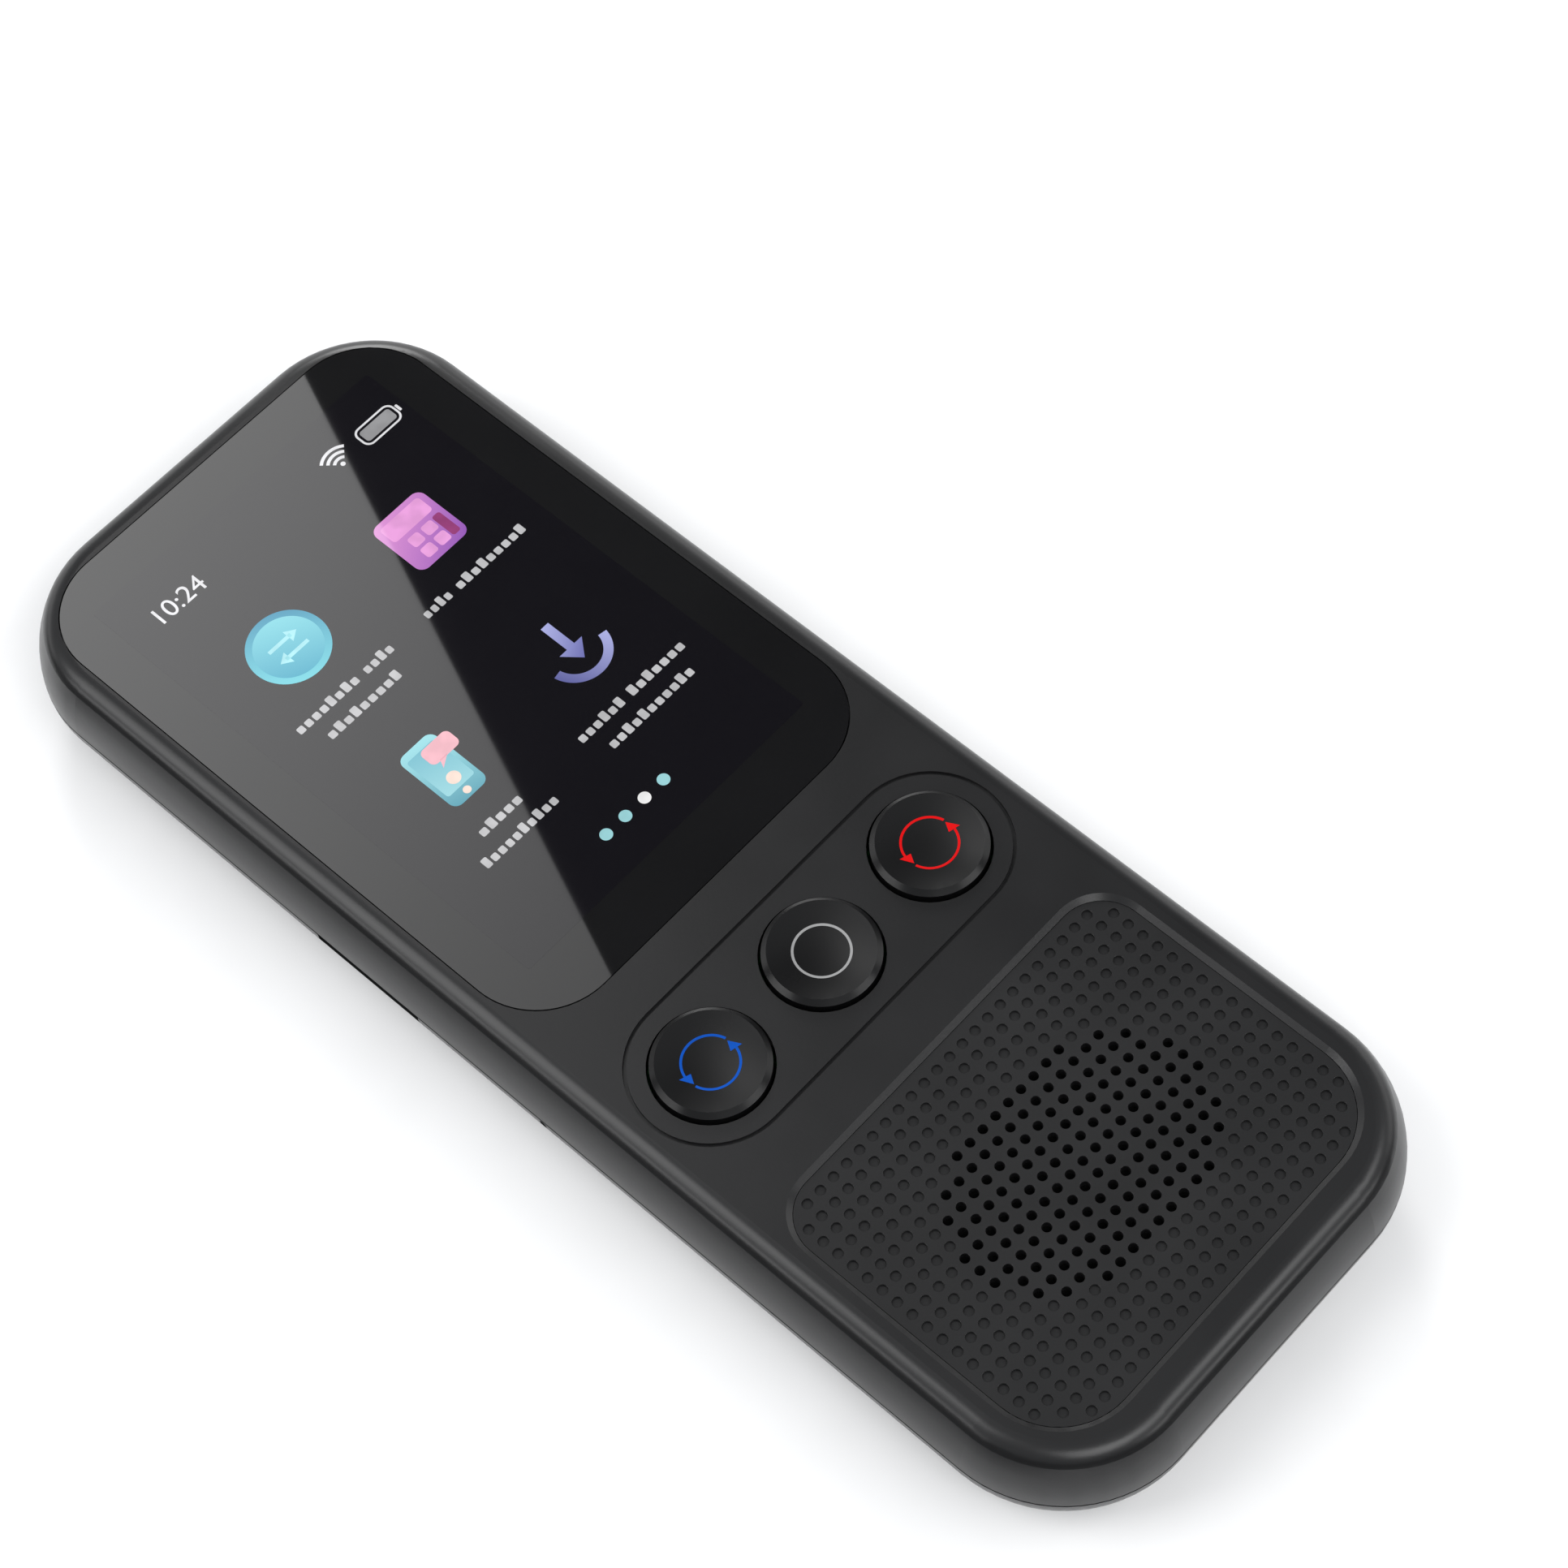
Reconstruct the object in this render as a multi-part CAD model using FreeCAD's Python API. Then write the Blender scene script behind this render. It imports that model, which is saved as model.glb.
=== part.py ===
import FreeCAD, Part
import math
import os
from FreeCAD import Vector

# Handheld translator, millimetres.
# The back lies on z = 0, +Z is out of the screen and +Y is toward the screen end.
# The origin is the centre of the flat back.

# Body
WIDTH = 53.0
LENGTH = 138.0
THICKNESS = 13.6
SPLIT_Z = 6.8
CORNER_R = 13.4
WALL = 1.6
# Each step of the hollow inside a half: how far it is inset, and where it ends
FRONT_STEPS = [(1.6, 8.6), (3.6, 12.0)]
REAR_STEPS = [(2.45, 5.1), (4.1, 2.6), (7.9, 1.6)]
FRONT_INSET = 3.3
REAR_INSET = 8.8
SEAM_DEPTH = 0.35
SEAM_HEIGHT = 0.22
LIP_GAP = 0.15
LIP_ROOT = 0.2
LIP_RISE = 1.0
# How far a cut runs past the face that it opens, and how deep added pieces sink in
PAST = 1.0
SINK = 0.1

# Touch glass and display
GLASS_HALF_W = 22.8
GLASS_Y = (-3.6, 65.1)
GLASS_R = 8.0
GLASS_THICK = 0.85
ADHESIVE_THICK = 0.2
ADHESIVE_INSET = 0.2
GLASS_GAP = 0.1
PANEL_HALF_W = 19.4
PANEL_Y = (0.2, 62.0)
PANEL_THICK = 2.0
PANEL_R = 1.0
WINDOW_GAP = 0.3
FLEX_THICK = 0.15
DISPLAY_FLEX_HALF_W = 8.0
DISPLAY_FLEX_RAISE = 0.6
DISPLAY_FLEX_REACH = 1.6

# Speaker grille: a plate in a shallow recess, with rows of holes and dimples
GRILLE_Y = -46.8
RECESS_HALF_W = 22.35
RECESS_Y = (-64.1, -29.5)
RECESS_R = (8.0, 5.1)
RECESS_SLOPE = 0.6
RECESS_DEPTH = 0.45
PLATE_THICK = 0.8
PLATE_GAP = 0.05
LEDGE_THICK = 0.95
LEDGE_INSET = 0.35
HOLE_PITCH = 1.7
HOLE_R = 0.475
HOLE_SIDES = 6
ROWS = 5
COLUMNS = 8
THROUGH_ROWS = 5.785
THROUGH_COLUMNS = 8.42
SOUND_HALF = (15.4, 10.9)
SOUND_R = 4.0

# Front keys
KEY_X = 14.6
KEY_Y = -16.4
KEY_HOLE_R = 5.8
KEY_R = 5.5
KEY_RIM_Z = THICKNESS + 1.0
KEY_EDGE = 0.5
KEY_DISH = 0.45
KEY_DISH_BITE = 0.02
KEY_TABS = (13.2, 4.0)
KEY_TAB_THICK = 0.8
KEY_TAB_GAP = 0.05
KEY_STEM = 2.2
KEY_STEM_END_Z = 10.0
TRACK_R = 7.7
TRACK_WIDTH = 0.35
TRACK_DEPTH = 0.4

# Main board and what it carries
BOARD_Z = (7.4, 8.2)
BOARD_HALF_W = 23.4
BOARD_Y = (-27.0, 64.0)
BOARD_R = (1.0, 9.0)
BOSS_PLACES = [(-21.9, -24.0), (21.9, -24.0), (-21.9, 58.5), (21.9, 58.5)]
BOSS_R = 1.5
BOSS_TOP_Z = 12.4
SCREW_R = 0.7
SCREW_GAP = 0.05
SCREW_SIDES = 8
SCREW_HEAD_R = 1.3
SCREW_HEAD = 0.8
SCREW_REACH = 2.2
SCREW_END_GAP = 0.2
SWITCH_SIDE = 5.0
SWITCH_TOP_Z = 10.4
SWITCH_WELL = 2.7
SWITCH_BORE_Z = 9.4
SHIELD = (24.0, 24.0, 1.7)
SHIELD_Y = 38.0

# Side keys on the +X side
SIDE_KEY_Z = 4.55
SIDE_KEY_HEIGHT = 3.3
SIDE_KEY_FACE_X = 27.3
SIDE_KEY_EDGE = 0.35
SIDE_KEY_GAP = 0.12
POWER_Y = 43.6
POWER_LENGTH = 13.0
VOLUME_Y = 23.8
VOLUME_LENGTH = 19.0
VOLUME_END_GAP = 0.22
FRAME_X = 22.0
FRAME_MARGIN = 1.3
FRAME_LOW_Z = 1.1
SIDE_FLANGE_X = (20.9, 21.6)
SIDE_FLANGE_Z = (3.2, 6.3)
SIDE_FLANGE_MARGIN = 0.9
FULCRUM_R = 0.38
SIDE_STEM = 1.4
SIDE_STEM_END_X = 19.5
VOLUME_STEM_Y = 6.5
SIDE_BOARD_X = (17.6, 18.2)
SIDE_BOARD_Y = (12.0, 52.0)
SIDE_BOARD_Z = 2.4
SIDE_SWITCH_TOP_X = 20.0
SIDE_SWITCH = (3.6, 3.2)
SIDE_WELL = 1.9
SIDE_WELL_X = 18.8

# Ports, microphones and card slot
USB_Z = 5.77
USB_SIZE = (8.94, 3.26)
USB_WALL = 0.3
USB_Y = (60.6, 68.0)
USB_CUT = (9.5, 3.8)
USB_NOTCH_GAP = 0.4
USB_NOTCH_DEPTH = 2.0
TONGUE = (6.7, 0.7)
TONGUE_Y = (61.4, 67.0)
CARD_Y = 16.2
CARD_SLOT_LENGTH = 13.1
CARD_SLOT_Z = 5.75
CARD_SLOT_DEPTH = 5.0
CARD_SOCKET = (14.0, 14.0)
CARD_SOCKET_X = -23.9
CARD_SOCKET_Z = 5.6
CARD_THROAT = (12.2, 1.0)
CARD_THROAT_RAISE = 0.35
CARD_SOCKET_BACK = 1.0
MIC_R = 0.42
MIC_SIZE = (2.0, 2.4)
MIC_HOLE_LENGTH = 8.0
BOOT_LENGTH = 1.0

# Battery and speaker
BATTERY_HALF_W = 17.0
BATTERY_Y = (-21.0, 39.0)
BATTERY_Z = (1.9, 5.5)
BATTERY_EDGE_R = 1.4
PAD_MARGIN = 3.0
CONNECTOR = (8.0, 4.0, 1.2)
CONNECTOR_Y = 44.0
STOP_TOP_Z = 4.3
STOP_THICK = 0.8
STOP_HALF_W = 12.0
REST_HALF_W = 8.0
REST_ROOT_Z = 1.3
BATTERY_FLEX_HALF_W = 3.0
BATTERY_FLEX_Z = 4.7
CLOTH_THICK = 0.2
CLOTH_MARGIN = 1.6
GASKET_THICK = 0.6
GASKET_WIDTH = 2.0
SPEAKER_HALF = (16.6, 12.1)
SPEAKER_R = 3.0
SPEAKER_Z = (5.0, 10.6)
SPEAKER_WALL = 1.0
CONE_TOP_Z = 9.6
CONE_THICK = 0.4
DOME_HALF = (9.0, 5.0)
DOME_DROP = 1.6
COIL_HALF = (6.0, 3.0)
MAGNET_HALF = (9.0, 6.0)
MAGNET_Z = (2.6, 5.0)
SPEAKER_FLEX_HALF_W = 3.0
SPEAKER_FLEX_OVERLAP = 3.0
ANTENNA = (24.0, 10.0)
ANTENNA_Y = 50.0

AXIS_X = Vector(1, 0, 0)
AXIS_Y = Vector(0, 1, 0)
AXIS_Z = Vector(0, 0, 1)


def outline(half_w, y_low, y_high, r_low, r_high, z):
    """A flat face: a rectangle with its own corner radius at each end."""
    wires = []
    corners = [
        (half_w - r_high, y_high - r_high, r_high, 0),
        (-half_w + r_high, y_high - r_high, r_high, 90),
        (-half_w + r_low, y_low + r_low, r_low, 180),
        (half_w - r_low, y_low + r_low, r_low, 270),
    ]
    ends = []
    for x, y, r, start in corners:
        points = []
        for angle in (start, start + 45, start + 90):
            turn = math.radians(angle)
            points.append(Vector(x + r * math.cos(turn), y + r * math.sin(turn), z))
        wires.append(Part.Arc(*points).toShape())
        ends.append((points[0], points[2]))
    for here, after in zip(ends, ends[1:] + ends[:1]):
        if here[1].distanceToPoint(after[0]) > 1e-6:
            wires.append(Part.makeLine(here[1], after[0]))
    return Part.Face(Part.Wire(Part.__sortEdges__(wires)))


def slab(half_w, y_low, y_high, r_low, r_high, z_low, z_high):
    face = outline(half_w, y_low, y_high, r_low, r_high, z_low)
    return face.extrude(AXIS_Z * (z_high - z_low))


def centred_slab(half_w, half_l, r, z_low, z_high, y=0.0):
    return slab(half_w, y - half_l, y + half_l, r, r, z_low, z_high)


def block(x_range, y_range, z_range):
    size = [high - low for low, high in (x_range, y_range, z_range)]
    return Part.makeBox(*size, Vector(x_range[0], y_range[0], z_range[0]))


def rod(radius, start, axis, length):
    return Part.makeCylinder(radius, length, start, axis)


def stadium(length, height, x_low, x_high, y, z):
    """A flat ended oval bar along X, long in Y."""
    face = outline(height / 2, -length / 2, length / 2, height / 2, height / 2, 0.0)
    bar = face.extrude(AXIS_Z * (x_high - x_low))
    bar.rotate(Vector(), AXIS_Y, 90)
    bar.translate(Vector(x_low, y, z))
    return bar


def quarter_oval(hub, major, minor):
    """Two tangent arcs, from the end of the long half axis to the end of the short one."""
    along = major - hub
    across = minor - hub
    a, b = along.Length, across.Length
    along.normalize()
    across.normalize()
    slant = math.hypot(a, b)
    small_r = (slant**2 - (a - b) * slant) / (2 * a)
    large_r = (slant**2 + (a - b) * slant) / (2 * b)
    small_centre = hub + along * (a - small_r)
    large_centre = hub + across * (b - large_r)
    meeting = (small_centre - large_centre).normalize()
    joint = small_centre + meeting * small_r
    small_middle = small_centre + (along + meeting).normalize() * small_r
    large_middle = large_centre + (meeting + across).normalize() * large_r
    return [Part.Arc(major, small_middle, joint).toShape(), Part.Arc(joint, large_middle, minor).toShape()]


def half_body(half_w, half_l, corner, inset, edge_z, flat_z):
    """Half of the rounded case: oval sides that run round the outline to a flat face."""
    flat_r = corner - inset
    rise = abs(flat_z - edge_z)
    core = centred_slab(half_w - inset, half_l - inset, flat_r, min(edge_z, flat_z), max(edge_z, flat_z))

    def profile(centre, outward):
        hub = centre + outward * flat_r + AXIS_Z * edge_z
        edge = centre + outward * corner + AXIS_Z * edge_z
        top = centre + outward * flat_r + AXIS_Z * flat_z
        major, minor = (top, edge) if rise > inset else (edge, top)
        sides = quarter_oval(hub, major, minor) + [Part.makeLine(top, hub), Part.makeLine(hub, edge)]
        return Part.Face(Part.Wire(Part.__sortEdges__(sides)))

    pieces = []
    run_x = 2 * (half_w - corner)
    run_y = 2 * (half_l - corner)
    for quarter, (sign_x, sign_y) in enumerate([(1, 1), (-1, 1), (-1, -1), (1, -1)]):
        centre = Vector(sign_x * run_x / 2, sign_y * run_y / 2, 0)
        turn = math.radians(90 * quarter)
        start = Vector(math.cos(turn), math.sin(turn), 0)
        end = Vector(-start.y, start.x, 0)
        pieces.append(profile(centre, start).revolve(centre, AXIS_Z, 90))
        pieces.append(profile(centre, end).extrude(start * -(run_x if quarter % 2 == 0 else run_y)))
    return core.multiFuse(pieces).removeSplitter()


def prism(sides, radius, x, y, z_low, z_high):
    """A regular prism with the same area as a circle of the given radius."""
    reach = radius * math.sqrt(2 * math.pi / sides / math.sin(2 * math.pi / sides))
    points = []
    for k in range(sides + 1):
        turn = 2 * math.pi * (k + 0.5) / sides
        points.append(Vector(x + reach * math.cos(turn), y + reach * math.sin(turn), z_low))
    return Part.Face(Part.makePolygon(points)).extrude(AXIS_Z * (z_high - z_low))


def grille_holes():
    """Yield each place of the lattice where the sound goes through."""
    for row in range(-ROWS, ROWS + 1):
        for column in range(-COLUMNS, COLUMNS + 1):
            if (row / THROUGH_ROWS) ** 2 + (column / THROUGH_COLUMNS) ** 2 <= 1:
                yield column * HOLE_PITCH, GRILLE_Y + row * HOLE_PITCH


def plate_outline(grow, z_low, z_high):
    inset = RECESS_SLOPE - grow
    return slab(
        RECESS_HALF_W - inset,
        RECESS_Y[0] + inset,
        RECESS_Y[1] - inset,
        RECESS_R[0] - inset,
        RECESS_R[1] - inset,
        z_low,
        z_high,
    )


half_w = WIDTH / 2
half_l = LENGTH / 2
recess_z = THICKNESS - RECESS_DEPTH
pocket_z = recess_z - PLATE_THICK
ledge_z = pocket_z - LEDGE_THICK
glass_z = THICKNESS - GLASS_THICK
adhesive_z = glass_z - ADHESIVE_THICK
ceiling_z = THICKNESS - WALL
board_low, board_top = BOARD_Z
lip_half_w = half_w - WALL - LIP_GAP
lip_half_l = half_l - WALL - LIP_GAP
lip_r = CORNER_R - WALL - LIP_GAP

# Each microphone: its side, y and z, where the wall in front of it is, and half its boot
MIC_PLACES = {
    "right": (1, 53.0, 4.35, half_w - REAR_STEPS[1][0], 1.15),
    "left": (-1, -6.2, 6.3, half_w - REAR_STEPS[0][0], 0.65),
}


def hollow(steps, edge_z):
    """The stepped space inside one half, from the parting line inward."""
    rooms = []
    here = edge_z
    for inset, z in steps:
        room = centred_slab(half_w - inset, half_l - inset, CORNER_R - inset, min(here, z), max(here, z))
        rooms.append(room)
        here = z
    return rooms[0].multiFuse(rooms[1:])


def front_inside():
    return hollow(FRONT_STEPS, SPLIT_Z)


def rear_inside():
    return hollow(REAR_STEPS, SPLIT_Z)


def usb_cut():
    hole = outline(USB_CUT[0] / 2, -USB_CUT[1] / 2, USB_CUT[1] / 2, USB_CUT[1] / 2, USB_CUT[1] / 2, 0.0)
    cut = hole.extrude(AXIS_Z * (half_l + PAST - USB_Y[0]))
    cut.rotate(Vector(), AXIS_X, -90)
    cut.translate(Vector(0, USB_Y[0], USB_Z))
    return cut


def key_track(z_low, z_high):
    """The slot that runs round the three keys as a long oval."""
    rings = []
    for r in (TRACK_R + TRACK_WIDTH / 2, TRACK_R - TRACK_WIDTH / 2):
        rings.append(centred_slab(KEY_X + r, r, r, z_low, z_high, KEY_Y))
    return rings[0].cut(rings[1])


def seam_groove():
    """The shadow line between the two halves, cut into the front one."""
    top = SPLIT_Z + SEAM_HEIGHT
    ring = centred_slab(half_w + PAST, half_l + PAST, CORNER_R + PAST, SPLIT_Z, top)
    kept = centred_slab(half_w - SEAM_DEPTH, half_l - SEAM_DEPTH, CORNER_R - SEAM_DEPTH, SPLIT_Z, top)
    return ring.cut(kept)


def front_housing():
    outside = half_body(half_w, half_l, CORNER_R, FRONT_INSET, SPLIT_Z, THICKNESS)
    shell = outside.cut(front_inside())

    # Screw bosses and the thick ledge behind the grille
    added = []
    for x, y in BOSS_PLACES:
        added.append(rod(BOSS_R, Vector(x, y, board_top), AXIS_Z, BOSS_TOP_Z - board_top))
    added.append(plate_outline(-LEDGE_INSET, ledge_z, ceiling_z + SINK))
    shell = shell.multiFuse(added).common(outside)

    # Glass pocket and display window
    cuts = [
        slab(
            GLASS_HALF_W + GLASS_GAP,
            GLASS_Y[0] - GLASS_GAP,
            GLASS_Y[1] + GLASS_GAP,
            GLASS_R,
            GLASS_R,
            adhesive_z,
            THICKNESS + PAST,
        ),
        slab(
            PANEL_HALF_W + WINDOW_GAP,
            PANEL_Y[0] - WINDOW_GAP,
            PANEL_Y[1] + WINDOW_GAP,
            PANEL_R,
            PANEL_R,
            ceiling_z - PAST,
            THICKNESS,
        ),
    ]

    # Grille recess with sloping sides, its pocket and the sound opening
    rims = []
    for inset, z in ((0.0, THICKNESS), (RECESS_SLOPE - PLATE_GAP, recess_z)):
        face = outline(
            RECESS_HALF_W - inset,
            RECESS_Y[0] + inset,
            RECESS_Y[1] - inset,
            RECESS_R[0] - inset,
            RECESS_R[1] - inset,
            z,
        )
        rims.append(face.OuterWire)
    cuts.append(Part.makeLoft(rims, True, True))
    cuts.append(plate_outline(PLATE_GAP, pocket_z, recess_z))
    cuts.append(centred_slab(*SOUND_HALF, SOUND_R, ledge_z - PAST, recess_z, GRILLE_Y))

    # Key holes and the track round them
    for x in (-KEY_X, 0, KEY_X):
        cuts.append(rod(KEY_HOLE_R, Vector(x, KEY_Y, ceiling_z - PAST), AXIS_Z, WALL + 2 * PAST))
    cuts.append(key_track(THICKNESS - TRACK_DEPTH, THICKNESS + PAST))

    # Screw holes and the charging port
    screw_end_z = board_top + SCREW_REACH + SCREW_END_GAP
    for x, y in BOSS_PLACES:
        cuts.append(prism(SCREW_SIDES, SCREW_R + SCREW_GAP, x, y, board_top - PAST, screw_end_z))
    cuts.append(usb_cut())
    cuts.append(seam_groove())
    for cut in cuts:
        shell = shell.cut(cut)
    return shell


def key_frame(y, length):
    reach = length / 2 + FRAME_MARGIN
    return block((FRAME_X, half_w), (y - reach, y + reach), (FRAME_LOW_Z, SPLIT_Z))


def rear_cover():
    outside = half_body(half_w, half_l, CORNER_R, REAR_INSET, SPLIT_Z, 0.0)
    shell = outside.cut(rear_inside())

    # Thick frames behind the side keys, battery stops and speaker rests
    added = [key_frame(POWER_Y, POWER_LENGTH), key_frame(VOLUME_Y, VOLUME_LENGTH)]
    for y in (BATTERY_Y[0] - STOP_THICK, BATTERY_Y[1]):
        stop = block((-STOP_HALF_W, STOP_HALF_W), (y, y + STOP_THICK), (REST_ROOT_Z, STOP_TOP_Z))
        added.append(stop)
    for side in (-1, 1):
        y = GRILLE_Y + side * (SPEAKER_HALF[1] - STOP_THICK) - STOP_THICK / 2
        rest = block((-REST_HALF_W, REST_HALF_W), (y, y + STOP_THICK), (REST_ROOT_Z, SPEAKER_Z[0]))
        added.append(rest)
    shell = shell.multiFuse(added).common(outside)

    # A lip that stands up inside the front half
    lip_inset = REAR_STEPS[0][0]
    lip = centred_slab(lip_half_w, lip_half_l, lip_r, SPLIT_Z - LIP_ROOT, SPLIT_Z + LIP_RISE)
    lip = lip.cut(
        centred_slab(
            half_w - lip_inset,
            half_l - lip_inset,
            CORNER_R - lip_inset,
            SPLIT_Z - LIP_ROOT,
            SPLIT_Z + LIP_RISE,
        )
    )
    shell = shell.fuse(lip)
    cuts = []

    # Side key holes
    key_cut_height = SIDE_KEY_HEIGHT + 2 * SIDE_KEY_GAP
    for y, length, gap in (
        (POWER_Y, POWER_LENGTH, SIDE_KEY_GAP),
        (VOLUME_Y, VOLUME_LENGTH, VOLUME_END_GAP),
    ):
        cuts.append(stadium(length + 2 * gap, key_cut_height, FRAME_X - PAST, half_w + PAST, y, SIDE_KEY_Z))

    # Charging port, card slot and microphone holes
    cuts.append(usb_cut())
    notch = USB_CUT[0] / 2 + USB_NOTCH_GAP
    notch_y = (lip_half_l - USB_NOTCH_DEPTH, lip_half_l)
    cuts.append(block((-notch, notch), notch_y, (USB_Z, SPLIT_Z + LIP_RISE + PAST)))
    slot = CARD_SLOT_LENGTH / 2
    slot_x = (-half_w - PAST, -half_w + CARD_SLOT_DEPTH)
    cuts.append(block(slot_x, (CARD_Y - slot, CARD_Y + slot), (CARD_SLOT_Z, SPLIT_Z)))
    for side, y, z, wall_x, _ in MIC_PLACES.values():
        cuts.append(rod(MIC_R, Vector(side * (wall_x - PAST), y, z), AXIS_X * side, MIC_HOLE_LENGTH))
    for cut in cuts:
        shell = shell.cut(cut)
    return shell


def speaker_grille():
    plate = plate_outline(0.0, pocket_z, recess_z)
    holes = [prism(HOLE_SIDES, HOLE_R, x, y, pocket_z - PAST, recess_z + PAST) for x, y in grille_holes()]
    return plate.cut(Part.makeCompound(holes))


def touch_glass():
    return slab(GLASS_HALF_W, *GLASS_Y, GLASS_R, GLASS_R, glass_z, THICKNESS)


def glass_adhesive():
    sheet = slab(
        GLASS_HALF_W - ADHESIVE_INSET,
        GLASS_Y[0] + ADHESIVE_INSET,
        GLASS_Y[1] - ADHESIVE_INSET,
        GLASS_R - ADHESIVE_INSET,
        GLASS_R - ADHESIVE_INSET,
        adhesive_z,
        glass_z,
    )
    window = slab(
        PANEL_HALF_W + WINDOW_GAP,
        PANEL_Y[0] - WINDOW_GAP,
        PANEL_Y[1] + WINDOW_GAP,
        PANEL_R,
        PANEL_R,
        adhesive_z,
        glass_z,
    )
    return sheet.cut(window)


def display_panel():
    return block((-PANEL_HALF_W, PANEL_HALF_W), PANEL_Y, (glass_z - PANEL_THICK, glass_z))


def display_flex():
    half = DISPLAY_FLEX_HALF_W
    top = glass_z - PANEL_THICK + DISPLAY_FLEX_RAISE
    turn_y = PANEL_Y[0] - DISPLAY_FLEX_REACH
    level = block((-half, half), (turn_y, PANEL_Y[0]), (top - FLEX_THICK, top))
    drop = block((-half, half), (turn_y, turn_y + FLEX_THICK), (board_top, top))
    return level.fuse(drop).removeSplitter()


def main_board():
    board = slab(BOARD_HALF_W, *BOARD_Y, *BOARD_R, board_low, board_top)
    holes = []
    for x, y in BOSS_PLACES:
        holes.append(prism(SCREW_SIDES, SCREW_R + SCREW_GAP, x, y, board_low - PAST, board_top + PAST))
    return board.cut(Part.makeCompound(holes))


def board_screws():
    screws = []
    for x, y in BOSS_PLACES:
        head = rod(SCREW_HEAD_R, Vector(x, y, board_low - SCREW_HEAD), AXIS_Z, SCREW_HEAD)
        shank = prism(SCREW_SIDES, SCREW_R, x, y, board_low - SINK, board_top + SCREW_REACH)
        screws.append(head.fuse(shank).removeSplitter())
    return Part.makeCompound(screws)


def front_key(x):
    """A round cap with a dished top, two tabs under the case and a stem over its switch."""
    tab_top = ceiling_z - KEY_TAB_GAP
    tab_low = tab_top - KEY_TAB_THICK
    cap = rod(KEY_R, Vector(0, 0, tab_low), AXIS_Z, KEY_RIM_Z - tab_low)
    rim = [edge for edge in cap.Edges if edge.BoundBox.ZMin > KEY_RIM_Z - SINK]
    cap = cap.makeChamfer(KEY_EDGE, rim)
    dish_r = KEY_R - KEY_EDGE + KEY_DISH_BITE
    ball_r = (dish_r**2 + KEY_DISH**2) / (2 * KEY_DISH)
    cap = cap.cut(Part.makeSphere(ball_r, Vector(0, 0, KEY_RIM_Z - KEY_DISH + ball_r), AXIS_X))
    half_x, half_y = KEY_TABS[0] / 2, KEY_TABS[1] / 2
    tabs = block((-half_x, half_x), (-half_y, half_y), (tab_low, tab_top))
    half = KEY_STEM / 2
    stem = block((-half, half), (-half, half), (KEY_STEM_END_Z, tab_low))
    key = cap.multiFuse([tabs, stem]).removeSplitter()
    key.translate(Vector(x, KEY_Y, 0))
    return key


def front_key_switches():
    half = SWITCH_SIDE / 2
    switches = []
    for x in (-KEY_X, 0, KEY_X):
        can = block((x - half, x + half), (KEY_Y - half, KEY_Y + half), (board_top, SWITCH_TOP_Z))
        well = SWITCH_WELL / 2
        bore = block((x - well, x + well), (KEY_Y - well, KEY_Y + well), (SWITCH_BORE_Z, SWITCH_TOP_Z))
        switches.append(can.cut(bore))
    return Part.makeCompound(switches)


def side_key(y, length, stems, rocks):
    """An oval cap through the side wall, with a flange inside and a stem over each switch."""
    cap = stadium(length, SIDE_KEY_HEIGHT, SIDE_FLANGE_X[0], SIDE_KEY_FACE_X, y, SIDE_KEY_Z)
    rim = [edge for edge in cap.Edges if edge.BoundBox.XMin > SIDE_KEY_FACE_X - SINK]
    cap = cap.makeChamfer(SIDE_KEY_EDGE, rim)
    reach = length / 2 + SIDE_FLANGE_MARGIN
    flange = block(SIDE_FLANGE_X, (y - reach, y + reach), SIDE_FLANGE_Z)
    pieces = [flange]
    for offset in stems:
        half = SIDE_STEM / 2
        y_range = (y + offset - half, y + offset + half)
        z_range = (SIDE_KEY_Z - half, SIDE_KEY_Z + half)
        pieces.append(block((SIDE_STEM_END_X, SIDE_FLANGE_X[0]), y_range, z_range))
    if rocks:
        foot = Vector(SIDE_FLANGE_X[1], y, SIDE_FLANGE_Z[0])
        pieces.append(rod(FULCRUM_R, foot, AXIS_Z, SIDE_FLANGE_Z[1] - SIDE_FLANGE_Z[0]))
    return cap.multiFuse(pieces).removeSplitter()


def side_switch(y):
    half_y, half_z = SIDE_SWITCH[0] / 2, SIDE_SWITCH[1] / 2
    z_range = (SIDE_KEY_Z - half_z, SIDE_KEY_Z + half_z)
    can = block((SIDE_BOARD_X[1], SIDE_SWITCH_TOP_X), (y - half_y, y + half_y), z_range)
    well = SIDE_WELL / 2
    well_z = (SIDE_KEY_Z - well, SIDE_KEY_Z + well)
    return can.cut(block((SIDE_WELL_X, SIDE_SWITCH_TOP_X), (y - well, y + well), well_z))


def side_key_board():
    return block(SIDE_BOARD_X, SIDE_BOARD_Y, (SIDE_BOARD_Z, board_low))


def processor_shield():
    half_x, half_y = SHIELD[0] / 2, SHIELD[1] / 2
    y_range = (SHIELD_Y - half_y, SHIELD_Y + half_y)
    return block((-half_x, half_x), y_range, (board_top, board_top + SHIELD[2]))


def wifi_antenna():
    half_x, half_y = ANTENNA[0] / 2, ANTENNA[1] / 2
    return block((-half_x, half_x), (ANTENNA_Y - half_y, ANTENNA_Y + half_y), (WALL, WALL + FLEX_THICK))


def battery():
    cell = block((-BATTERY_HALF_W, BATTERY_HALF_W), BATTERY_Y, BATTERY_Z)
    long_edges = []
    for edge in cell.Edges:
        box = edge.BoundBox
        if box.YLength > BATTERY_EDGE_R:
            long_edges.append(edge)
    return cell.makeFillet(BATTERY_EDGE_R, long_edges)


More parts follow.
